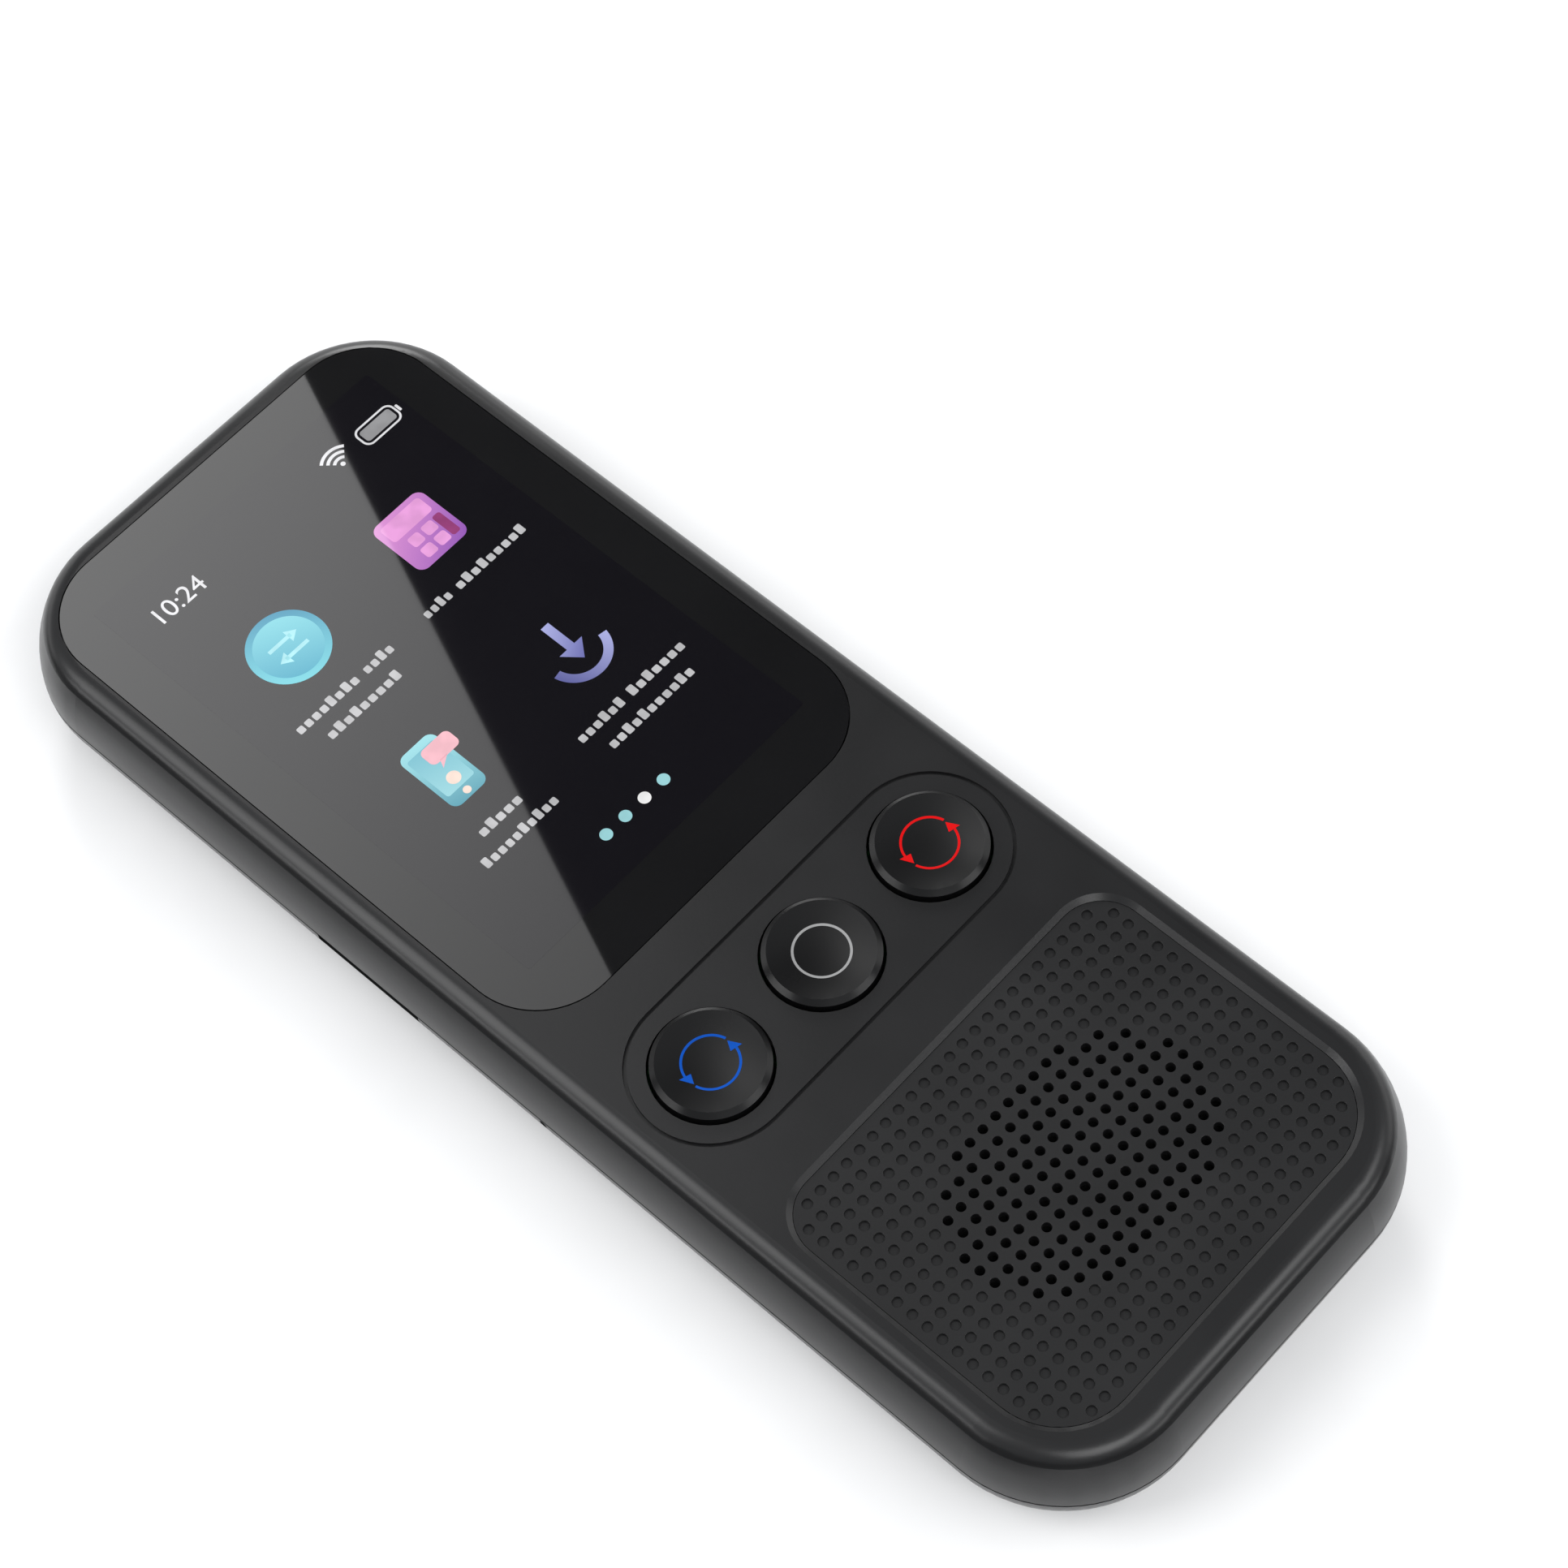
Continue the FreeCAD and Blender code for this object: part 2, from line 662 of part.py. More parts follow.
def battery_pad():
    half = BATTERY_HALF_W - PAD_MARGIN
    return block((-half, half), (BATTERY_Y[0] + PAD_MARGIN, BATTERY_Y[1] - PAD_MARGIN), (WALL, BATTERY_Z[0]))


def battery_connector():
    half_x, half_y = CONNECTOR[0] / 2, CONNECTOR[1] / 2
    y_range = (CONNECTOR_Y - half_y, CONNECTOR_Y + half_y)
    return block((-half_x, half_x), y_range, (board_low - CONNECTOR[2], board_low))


def battery_flex():
    half = BATTERY_FLEX_HALF_W
    low = BATTERY_FLEX_Z
    run = block((-half, half), (BATTERY_Y[1], CONNECTOR_Y), (low, low + FLEX_THICK))
    rise = block((-half, half), (CONNECTOR_Y - FLEX_THICK, CONNECTOR_Y), (low, board_low - CONNECTOR[2]))
    return run.fuse(rise).removeSplitter()


def sound_ring(half_sizes, hole_sizes, r_out, r_in, z_low, z_high):
    outer = centred_slab(*half_sizes, r_out, z_low, z_high, GRILLE_Y)
    return outer.cut(centred_slab(*hole_sizes, r_in, z_low, z_high, GRILLE_Y))


def grille_cloth():
    half = [size + CLOTH_MARGIN for size in SOUND_HALF]
    return centred_slab(*half, SOUND_R + CLOTH_MARGIN, ledge_z - CLOTH_THICK, ledge_z, GRILLE_Y)


def speaker_gasket():
    hole = [size - GASKET_WIDTH for size in SPEAKER_HALF]
    top = SPEAKER_Z[1] + GASKET_THICK
    return sound_ring(SPEAKER_HALF, hole, SPEAKER_R, SPEAKER_R - SPEAKER_WALL, SPEAKER_Z[1], top)


def speaker_frame():
    basket = centred_slab(*SPEAKER_HALF, SPEAKER_R, *SPEAKER_Z, GRILLE_Y)
    inner = [size - SPEAKER_WALL for size in SPEAKER_HALF]
    return basket.cut(
        centred_slab(*inner, SPEAKER_R - SPEAKER_WALL, SPEAKER_Z[0] + SPEAKER_WALL, SPEAKER_Z[1], GRILLE_Y)
    )


def speaker_cone():
    """A flat surround with a sunken middle that carries the voice coil."""
    half = [size - SPEAKER_WALL for size in SPEAKER_HALF]
    low = CONE_TOP_Z - CONE_THICK
    surround = centred_slab(*half, SPEAKER_R - SPEAKER_WALL, low, CONE_TOP_Z, GRILLE_Y)
    rims = []
    for (half_x, half_y), z in ((DOME_HALF, CONE_TOP_Z), (COIL_HALF, CONE_TOP_Z - DOME_DROP)):
        low_y, high_y = GRILLE_Y - half_y, GRILLE_Y + half_y
        corners = [(half_x, high_y), (-half_x, high_y), (-half_x, low_y), (half_x, low_y), (half_x, high_y)]
        rims.append(Part.makePolygon([Vector(x, y, z) for x, y in corners]))
    sunken = Part.makeLoft(rims, True, True)
    below = sunken.copy()
    below.translate(AXIS_Z * -CONE_THICK)
    coil_x, coil_y = COIL_HALF
    coil_z = (SPEAKER_Z[0] + SPEAKER_WALL, CONE_TOP_Z - DOME_DROP)
    coil = block((-coil_x, coil_x), (GRILLE_Y - coil_y, GRILLE_Y + coil_y), coil_z)
    return surround.fuse(below).cut(sunken).fuse(coil).removeSplitter()


def speaker_magnet():
    half_x, half_y = MAGNET_HALF
    return block((-half_x, half_x), (GRILLE_Y - half_y, GRILLE_Y + half_y), MAGNET_Z)


def speaker_flex():
    half = SPEAKER_FLEX_HALF_W
    y_range = (GRILLE_Y + SPEAKER_HALF[1], BOARD_Y[0] + SPEAKER_FLEX_OVERLAP)
    return block((-half, half), y_range, (board_low - FLEX_THICK, board_low))


def usb_tube(size, y_low, y_high):
    face = outline(size[0] / 2, -size[1] / 2, size[1] / 2, size[1] / 2, size[1] / 2, 0.0)
    tube = face.extrude(AXIS_Z * (y_high - y_low))
    tube.rotate(Vector(), AXIS_X, -90)
    tube.translate(Vector(0, y_low, USB_Z))
    return tube


def usb_port():
    inner = [size - 2 * USB_WALL for size in USB_SIZE]
    return usb_tube(USB_SIZE, *USB_Y).cut(usb_tube(inner, TONGUE_Y[0], USB_Y[1]))


def usb_tongue():
    half_x, half_z = TONGUE[0] / 2, TONGUE[1] / 2
    return block((-half_x, half_x), TONGUE_Y, (USB_Z - half_z, USB_Z + half_z))


def card_socket():
    half = CARD_SOCKET[1] / 2
    x_high = CARD_SOCKET_X + CARD_SOCKET[0]
    shell = block((CARD_SOCKET_X, x_high), (CARD_Y - half, CARD_Y + half), (CARD_SOCKET_Z, board_low))
    throat = CARD_THROAT[0] / 2
    throat_low = CARD_SOCKET_Z + CARD_THROAT_RAISE
    throat_x = (CARD_SOCKET_X, x_high - CARD_SOCKET_BACK)
    throat_z = (throat_low, throat_low + CARD_THROAT[1])
    return shell.cut(block(throat_x, (CARD_Y - throat, CARD_Y + throat), throat_z))


def microphone(side, y, z, wall_x):
    length, width = MIC_SIZE
    front_x = wall_x - BOOT_LENGTH
    x_range = sorted((side * (front_x - length), side * front_x))
    below = min(board_low - z, width / 2)
    body = block(x_range, (y - width / 2, y + width / 2), (z - below, board_low))
    return body.cut(rod(MIC_R, Vector(side * front_x, y, z), AXIS_X * -side, length / 2))


def mic_boot(side, y, z, wall_x, half):
    """A soft block with the sound hole through it, between a microphone and the wall."""
    x_range = sorted((side * wall_x, side * (wall_x - BOOT_LENGTH)))
    boot = block(x_range, (y - half, y + half), (z - half, z + half))
    return boot.cut(rod(MIC_R, Vector(side * wall_x, y, z), AXIS_X * -side, BOOT_LENGTH))


def build():
    parts = {
        "front_housing": front_housing(),
        "rear_cover": rear_cover(),
        "speaker_grille": speaker_grille(),
        "grille_cloth": grille_cloth(),
        "touch_glass": touch_glass(),
        "glass_adhesive": glass_adhesive(),
        "display_panel": display_panel(),
        "display_flex": display_flex(),
        "main_board": main_board(),
        "board_screws": board_screws(),
        "processor_shield": processor_shield(),
        "wifi_antenna": wifi_antenna(),
        "front_key_switches": front_key_switches(),
        "side_key_board": side_key_board(),
        "power_switch": side_switch(POWER_Y),
        "battery": battery(),
        "battery_pad": battery_pad(),
        "battery_connector": battery_connector(),
        "battery_flex": battery_flex(),
        "speaker_frame": speaker_frame(),
        "speaker_cone": speaker_cone(),
        "speaker_magnet": speaker_magnet(),
        "speaker_gasket": speaker_gasket(),
        "speaker_flex": speaker_flex(),
        "usb_port": usb_port(),
        "usb_tongue": usb_tongue(),
        "card_socket": card_socket(),
        "left_key": front_key(-KEY_X),
        "centre_key": front_key(0),
        "right_key": front_key(KEY_X),
        "power_key": side_key(POWER_Y, POWER_LENGTH, (0,), False),
        "volume_key": side_key(VOLUME_Y, VOLUME_LENGTH, (-VOLUME_STEM_Y, VOLUME_STEM_Y), True),
    }
    switches = [side_switch(VOLUME_Y + offset) for offset in (-VOLUME_STEM_Y, VOLUME_STEM_Y)]
    parts["volume_switches"] = Part.makeCompound(switches)
    for name, place in MIC_PLACES.items():
        parts[name + "_microphone"] = microphone(*place[:-1])
        parts[name + "_mic_boot"] = mic_boot(*place)
    return parts


os.makedirs("parts", exist_ok=True)
for name, shape in build().items():
    if not shape.isValid():
        raise RuntimeError(name + " is not a valid shape")
    shape.exportStep("parts/" + name + ".step")
    print(name, len(shape.Solids), round(shape.Volume, 1))
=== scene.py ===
import math
import bpy
from mathutils import Matrix, Vector
from mathutils.geometry import delaunay_2d_cdt, tessellate_polygon


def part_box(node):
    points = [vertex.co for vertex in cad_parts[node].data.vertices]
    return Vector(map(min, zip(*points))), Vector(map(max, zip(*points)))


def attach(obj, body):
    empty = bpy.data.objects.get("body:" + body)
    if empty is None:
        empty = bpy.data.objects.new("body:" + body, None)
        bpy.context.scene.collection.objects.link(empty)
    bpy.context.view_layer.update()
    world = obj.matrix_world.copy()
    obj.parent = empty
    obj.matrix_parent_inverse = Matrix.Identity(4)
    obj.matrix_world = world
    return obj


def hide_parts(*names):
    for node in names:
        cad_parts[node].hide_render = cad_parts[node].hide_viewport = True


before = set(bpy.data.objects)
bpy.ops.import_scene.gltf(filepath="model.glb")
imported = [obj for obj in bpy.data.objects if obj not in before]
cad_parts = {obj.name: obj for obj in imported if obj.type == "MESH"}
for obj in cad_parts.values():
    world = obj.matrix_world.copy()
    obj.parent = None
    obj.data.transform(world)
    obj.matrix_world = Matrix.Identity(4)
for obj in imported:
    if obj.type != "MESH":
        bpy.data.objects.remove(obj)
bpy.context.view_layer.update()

# Handheld translator. Lengths are in millimetres until a point goes into a mesh.
MM = 0.001
HOUSING = "housing"


def node_box(node):
    low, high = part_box(node)
    return low / MM, high / MM


plate_low, plate_high = node_box("speaker_grille")
FACE_Z = node_box("touch_glass")[1].z
GRILLE_TOP_Z = plate_high.z
GRILLE_LOW_Z = plate_low.z

# Camera, worked out from the photograph's perspective: its focal length is in the photo's pixels
PHOTO_SIDE = 1932
FOCAL_PX = 4820
SENSOR = 36.0
CAMERA_PLACE = Vector((-111.8, -133.9, 323.6))
CAMERA_RIGHT = Vector((0.67257, -0.73846, -0.04833))
CAMERA_DOWN = Vector((-0.65633, -0.56504, -0.49997))

# Speaker grille lattice: ROWS and COLUMNS count from the middle one to the last, and the oval
# field of through holes has its half-axes in rows and columns
GRILLE_Y = -46.8
PITCH = 1.7
ROWS = 9
COLUMNS = 12
THROUGH_ROWS = 5.785
THROUGH_COLUMNS = 8.42
HOLE_R = 0.475
DIMPLE_R = 0.5
DIMPLE_FLOOR_R = DIMPLE_R * 0.95
DIMPLE_DEPTH = 0.3
HOLE_EDGE = 0.03
HOLE_POINTS = 20
PLATE_LOW_R = 7.4
PLATE_HIGH_R = 4.5
PLATE_STEPS = 10

# Keys
KEY_PLACES = {"left_key": -14.6, "centre_key": 0.0, "right_key": 14.6}
KEY_Y = -16.4
KEY_RIM_Z = FACE_Z + 1.0
DISH_DEPTH = 0.45
DISH_R = 4.9
MARK_R = 2.65
MARK_WIDTH = 0.24
MARK_LIFT = 0.012
ARROW_TURNS = ((13, 188), (193, 368))
ARROW_TURN = 24
ARROW_OVERLAP = 4
ARROW_HALF_WIDTH = 0.6
ARROW_TIP_R = MARK_R - 0.1

# Marks on the side keys
POWER_Y = 43.6
POWER_MARK_R = 0.95
VOLUME_Y = 23.8
VOLUME_MARK_REACH = 6.5
VOLUME_MARK_HALF = 0.85
SIDE_KEY_Z = 4.55
SIDE_MARK_LIFT = 0.004
POWER_LINE = 0.2
VOLUME_LINE = 0.22

# Screen
EXCHANGE_PLACE = (-8.7, 43.5)
COUNTING_PLACE = (8.7, 43.3)
PHONE_PLACE = (-8.7, 22.9)
STORE_PLACE = (8.7, 22.9)
SCREEN_CENTRE = Vector((0.0, 31.4))
SCREEN_SIZE = Vector((36.7, 58.0))
LAYER = 0.008
SCREEN_GLOW = 1.0
SCREEN_ROUGHNESS = 0.02
UNLIT = (0.006, 0.006, 0.007, 1.0)
STATUS_Y = 55.2
CLOCK_X = -12.0
CLOCK_SIZE = 2.9
SIGNAL_X = 9.35
FAN_RADII = (1.0, 1.65, 2.3)
FAN_LINE = 0.34
CHARGE_X = 14.8
DOT_START = -3.75
DOT_PITCH = 2.55
DOT_Y = 6.75
DOT_R = 0.64
DOT_COUNT = 4
DOT_NOW = 2

# Lines of the labels under the screen's icons: x and y of the middle, and the words' lengths
LABEL_LINES = (
    (-8.5, 36.0, (8.0, 3.8)),
    (-8.5, 33.4, (9.4,)),
    (8.8, 36.0, (3.6, 9.2)),
    (-8.7, 15.4, (5.4,)),
    (-8.7, 12.8, (9.6,)),
    (8.8, 15.4, (6.0, 7.4)),
    (8.8, 12.8, (11.2,)),
)
WORD_GAP = 0.75
BLOCK_PITCH = 1.0
BLOCK_GAP = 0.26
BLOCK_HEIGHT = 0.8
BLOCK_TALL = 0.35
BLOCK_R = 0.14

# Shading: the part of a noise's range that is used, and how coarse and deep a finish is
NOISE_SPAN = (0.3, 0.7)
NOISE_TONES = (0.35, 0.65)
DRIFT_MM = 12
SMEAR_MM = 20
GLOW_DRIFT_MM = 1.6
GLOSS_VARIED = 0.06
GRAIN_DEPTH = 0.3
SHARP_ANGLE = 28
NODE_NORMAL_WEIGHT = 100
PLATE_NORMAL_WEIGHT = 50

# Floor, in metres
FLOOR_HALF = 3.0
FLOOR_DROP = 0.00005

# The pale card over the glass: where its edge crosses the glass, and its size
EDGE_FOOT = (-13.9, -3.5)
EDGE_TOP = (14.3, 65.1)
CARD_HEIGHT = 700.0
CARD_PAST_FOOT = 260
CARD_PAST_TOP = 40
CARD_WIDTH = 150
CARD_GLOW = (-0.1, 4.7)
ROOF_HEIGHT = 740.0

# Studio cards round the object
LEFT_X = -600
RIGHT_X = 700
FRONT_Y = -650
BACK_Y = 900
DARK_RISE = (2, 160)
RIM_RISE = (160, 280)
LOW_Z = 1
STRIP_GLOW = 1.6
RIM_GLOW = 4.5

# Light: the sky, and each soft box's place, size and power in watts
SKY_COLOUR = (0.9, 0.92, 0.95, 1)
SKY_STRENGTH = 0.55
SOFT_BOXES = {
    "left_box": ((-456, 356, 690), (420, 640), 3.2),
    "front_box": ((250, -500, 700), (700, 280), 2.4),
    "fill_box": ((-330, -760, 1000), (600, 600), 5),
    "far_box": ((600, 760, 500), (300, 300), 3.5),
}


def linear(value):
    """One sRGB channel, 0 to 255, as linear light."""
    part = value / 255
    return part / 12.92 if part <= 0.04045 else ((part + 0.055) / 1.055) ** 2.4


def rgb(red, green, blue):
    return (linear(red), linear(green), linear(blue), 1.0)


def new_material(name):
    material = bpy.data.materials.new(name)
    material.use_nodes = True
    tree = material.node_tree
    shader = tree.nodes["Principled BSDF"]
    return material, tree, shader


def noise(tree, scale, detail=3.0):
    coords = tree.nodes.new("ShaderNodeTexCoord")
    texture = tree.nodes.new("ShaderNodeTexNoise")
    texture.inputs["Scale"].default_value = scale
    texture.inputs["Detail"].default_value = detail
    tree.links.new(coords.outputs["Object"], texture.inputs["Vector"])
    return texture


def spread(tree, source, low, high):
    """Maps a noise to a range."""
    node = tree.nodes.new("ShaderNodeMapRange")
    node.inputs["From Min"].default_value = NOISE_SPAN[0]
    node.inputs["From Max"].default_value = NOISE_SPAN[1]
    node.inputs["To Min"].default_value = low
    node.inputs["To Max"].default_value = high
    tree.links.new(source.outputs["Fac"], node.inputs["Value"])
    return node.outputs["Result"]


def tint(tree, source, dark, light):
    """Maps a noise to a colour between two close tones."""
    ramp = tree.nodes.new("ShaderNodeValToRGB")
    for element, position, colour in zip(ramp.color_ramp.elements, NOISE_TONES, (dark, light)):
        element.position = position
        element.color = colour
    tree.links.new(source.outputs["Fac"], ramp.inputs["Fac"])
    return ramp.outputs["Color"]


def shade(colour, factor):
    return tuple(min(1.0, channel * factor) for channel in colour[:3]) + (1.0,)


def finish_material(
    name, colour, roughness, grain_mm=0.3, bump=0.02, varied=0.08, metallic=0.0, gloss_level=0.5
):
    """A solid finish with a fine grain, a slow drift of tone and an uneven gloss."""
    material, tree, shader = new_material(name)
    drift = noise(tree, 1 / (DRIFT_MM * MM), 2.0)
    grain = noise(tree, 1 / (grain_mm * MM), 4.0)
    base = tint(tree, drift, shade(colour, 1 - varied), shade(colour, 1 + varied))
    tree.links.new(base, shader.inputs["Base Color"])
    gloss = spread(tree, drift, roughness * (1 - GLOSS_VARIED), roughness * (1 + GLOSS_VARIED))
    tree.links.new(gloss, shader.inputs["Roughness"])
    relief = tree.nodes.new("ShaderNodeBump")
    relief.inputs["Strength"].default_value = bump
    relief.inputs["Distance"].default_value = grain_mm * MM * GRAIN_DEPTH
    tree.links.new(grain.outputs["Fac"], relief.inputs["Height"])
    tree.links.new(relief.outputs["Normal"], shader.inputs["Normal"])
    shader.inputs["Metallic"].default_value = metallic
    shader.inputs["Specular IOR Level"].default_value = gloss_level
    return material


def glass_material():
    """Black printed glass with a faint smear in its polish."""
    material, tree, shader = new_material("cover_glass_black")
    smear = noise(tree, 1 / (SMEAR_MM * MM), 2.0)
    tree.links.new(tint(tree, smear, rgb(19, 19, 20), rgb(22, 22, 23)), shader.inputs["Base Color"])
    tree.links.new(spread(tree, smear, 0.012, 0.02), shader.inputs["Roughness"])
    shader.inputs["IOR"].default_value = 1.5
    return material


def light_up(tree, shader, colour):
    """Screen image under the glass: it glows, and shares the gloss of the glass."""
    shader.inputs["Base Color"].default_value = UNLIT
    tree.links.new(colour, shader.inputs["Emission Color"])
    shader.inputs["Emission Strength"].default_value = SCREEN_GLOW
    shader.inputs["Roughness"].default_value = SCREEN_ROUGHNESS


def lit_material(name, colour):
    """Screen image of one colour."""
    material, tree, shader = new_material(name)
    drift = noise(tree, 1 / (GLOW_DRIFT_MM * MM), 1.0)
    light_up(tree, shader, tint(tree, drift, shade(colour, 0.92), shade(colour, 1.08)))
    return material


def measure_along(tree, direction, low, high):
    """How far a point is along a direction, mapped from the range low to high."""
    coords = tree.nodes.new("ShaderNodeTexCoord")
    measure = tree.nodes.new("ShaderNodeVectorMath")
    measure.operation = "DOT_PRODUCT"
    measure.inputs[1].default_value = direction
    tree.links.new(coords.outputs["Object"], measure.inputs[0])
    scale = tree.nodes.new("ShaderNodeMapRange")
    scale.inputs["From Min"].default_value = low
    scale.inputs["From Max"].default_value = high
    tree.links.new(measure.outputs["Value"], scale.inputs["Value"])
    return scale


def graded_material(name, low_colour, high_colour, centre, reach, direction):
    """Screen image whose colour runs from one tone to another, within reach of its centre."""
    material, tree, shader = new_material(name)
    middle = (centre[0] * direction[0] + centre[1] * direction[1]) / reach
    slope = (direction[0] / (reach * MM), direction[1] / (reach * MM), 0)
    scale = measure_along(tree, slope, middle - 1, middle + 1)
    ramp = tree.nodes.new("ShaderNodeValToRGB")
    ramp.color_ramp.elements[0].color = low_colour
    ramp.color_ramp.elements[1].color = high_colour
    tree.links.new(scale.outputs["Result"], ramp.inputs["Fac"])
    light_up(tree, shader, ramp.outputs["Color"])
    return material


def cloth_material():
    """Fine black acoustic mesh: two crossed waves of thread."""
    material, tree, shader = new_material("acoustic_cloth")
    coords = tree.nodes.new("ShaderNodeTexCoord")
    mixed = tree.nodes.new("ShaderNodeMath")
    mixed.operation = "ADD"
    for slot, direction in enumerate(("X", "Y")):
        wave = tree.nodes.new("ShaderNodeTexWave")
        wave.bands_direction = direction
        wave.inputs["Scale"].default_value = 1 / (1.2 * MM)
        tree.links.new(coords.outputs["Object"], wave.inputs["Vector"])
        tree.links.new(wave.outputs["Fac"], mixed.inputs[slot])
    ramp = tree.nodes.new("ShaderNodeValToRGB")
    ramp.color_ramp.elements[0].color = rgb(3, 3, 3)
    ramp.color_ramp.elements[1].color = rgb(16, 16, 16)
    tree.links.new(mixed.outputs["Value"], ramp.inputs["Fac"])
    tree.links.new(ramp.outputs["Color"], shader.inputs["Base Color"])
    shader.inputs["Roughness"].default_value = 0.95
    return material


def board_material():
    """Green solder mask with copper tracks that show through it."""
    material, tree, shader = new_material("board_mask")
    coords = tree.nodes.new("ShaderNodeTexCoord")
    tracks = tree.nodes.new("ShaderNodeTexBrick")
    tracks.inputs["Scale"].default_value = 1 / (6 * MM)
    tracks.inputs["Mortar Size"].default_value = 0.03
    tracks.inputs["Color1"].default_value = rgb(12, 74, 40)
    tracks.inputs["Color2"].default_value = rgb(16, 84, 46)
    tracks.inputs["Mortar"].default_value = rgb(60, 130, 70)
    tree.links.new(coords.outputs["Object"], tracks.inputs["Vector"])
    tree.links.new(tracks.outputs["Color"], shader.inputs["Base Color"])
    shader.inputs["Roughness"].default_value = 0.35
    return material


case_plastic = finish_material("case_plastic_black", rgb(23, 23, 24), 0.3, 0.25, 0.06, gloss_level=0.4)
grille_plastic = finish_material("grille_plastic_black", rgb(22, 22, 23), 0.4, 0.25, 0.06, gloss_level=0.36)
key_plastic = finish_material("key_plastic_black", rgb(11, 11, 12), 0.28, 0.3, 0.03, gloss_level=0.32)
side_key_plastic = finish_material("side_key_plastic", rgb(22, 22, 23), 0.4, 0.3, 0.03, gloss_level=0.4)
screen_black = finish_material("screen_black", rgb(17, 16, 20), SCREEN_ROUGHNESS, 1.0, 0.0, 0.03)
rubber_black = finish_material("rubber_black", rgb(9, 9, 9), 0.8, 0.4, 0.1, gloss_level=0.2)
moulded_black = finish_material("moulded_black", rgb(24, 24, 25), 0.5, 0.3, 0.05)
steel = finish_material("steel_plate", rgb(190, 190, 188), 0.32, 0.4, 0.04, 0.05, metallic=1.0)
magnet_steel = finish_material("magnet_steel", rgb(150, 150, 150), 0.25, 0.5, 0.03, 0.05, metallic=1.0)
cell_wrap = finish_material("cell_wrap", rgb(120, 124, 130), 0.45, 0.6, 0.06)
flex_amber = finish_material("flex_amber", rgb(170, 96, 30), 0.35, 0.5, 0.04)
adhesive_black = finish_material("adhesive_black", rgb(20, 20, 20), 0.7, 0.4, 0.05)
panel_dark = finish_material("panel_dark", rgb(30, 30, 34), 0.2, 0.5, 0.02)

NODE_MATERIALS = {
    case_plastic: ("front_housing", "rear_cover"),
    key_plastic: ("left_key", "centre_key", "right_key"),
    side_key_plastic: ("power_key", "volume_key"),
    glass_material(): ("touch_glass",),
    cloth_material(): ("grille_cloth",),
    board_material(): ("main_board", "side_key_board"),
    rubber_black: ("speaker_gasket", "left_mic_boot", "right_mic_boot"),
    moulded_black: ("speaker_frame", "speaker_cone", "usb_tongue", "battery_connector"),
    magnet_steel: ("speaker_magnet",),
    cell_wrap: ("battery",),
    flex_amber: ("display_flex", "battery_flex", "speaker_flex", "wifi_antenna"),
    adhesive_black: ("glass_adhesive", "battery_pad"),
    panel_dark: ("display_panel",),
    steel: (
        "board_screws",
        "processor_shield",
        "front_key_switches",
        "power_switch",
        "volume_switches",
        "usb_port",
        "card_socket",
        "left_microphone",
        "right_microphone",
    ),
}


def shade_smooth(thing, weight):
    """Smooth shading that keeps the flats flat and the edges sharp."""
    for polygon in thing.data.polygons:
        polygon.use_smooth = True
    thing.data.set_sharp_from_angle(angle=math.radians(SHARP_ANGLE))
    weighted = thing.modifiers.new("weighted_normal", "WEIGHTED_NORMAL")
    weighted.keep_sharp = True
    weighted.weight = weight


def dress_nodes():
    """Gives each CAD node listed in NODE_MATERIALS its finish."""
    for material, names in NODE_MATERIALS.items():
        for name in names:
            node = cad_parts[name]
            node.data.materials.clear()
            node.data.materials.append(material)
            shade_smooth(node, NODE_NORMAL_WEIGHT)


def mesh_piece(name, points, faces, material, body):
    mesh = bpy.data.meshes.new(name)
    mesh.from_pydata([Vector(point) * MM for point in points], [], faces)
    mesh.validate()
    mesh.materials.append(material)
    piece = bpy.data.objects.new(name, mesh)
    bpy.context.scene.collection.objects.link(piece)
    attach(piece, body)
    return piece


def circle(x, y, r, count=48, start=0.0):
    turns = [start + 2 * math.pi * k / count for k in range(count)]
    return [(x + r * math.cos(turn), y + r * math.sin(turn)) for turn in turns]


def rounded_outline(corners, steps):
    """A quarter circle at each corner, given by its centre and radius, from the upper right on."""
    points = []
    for quarter, (x, y, r) in enumerate(corners):
        for k in range(steps + 1):
            turn = math.pi / 2 * (quarter + k / steps)
            points.append((x + r * math.cos(turn), y + r * math.sin(turn)))
    return points


def rounded_box(x, y, width, height, r, steps=6):
    sides = [(1, 1), (-1, 1), (-1, -1), (1, -1)]
    reach_x, reach_y = width / 2 - r, height / 2 - r
    return rounded_outline([(x + a * reach_x, y + b * reach_y, r) for a, b in sides], steps)


def band(x, y, r, width, start, end, count=32):
    """Part of a ring, between two angles in degrees."""
    turns = [math.radians(start + (end - start) * k / count) for k in range(count + 1)]
    outer = [(x + (r + width / 2) * math.cos(t), y + (r + width / 2) * math.sin(t)) for t in turns]
    inner = [(x + (r - width / 2) * math.cos(t), y + (r - width / 2) * math.sin(t)) for t in turns]
    return outer + inner[::-1]


def stroke(x0, y0, x1, y1, width):
    along = Vector((x1 - x0, y1 - y0)).normalized() * width / 2
    across = Vector((-along.y, along.x))
    ends = [Vector((x0, y0)) - along, Vector((x1, y1)) + along]
    corners = [ends[0] + across, ends[0] - across, ends[1] - across, ends[1] + across]
    return [tuple(corner) for corner in corners]


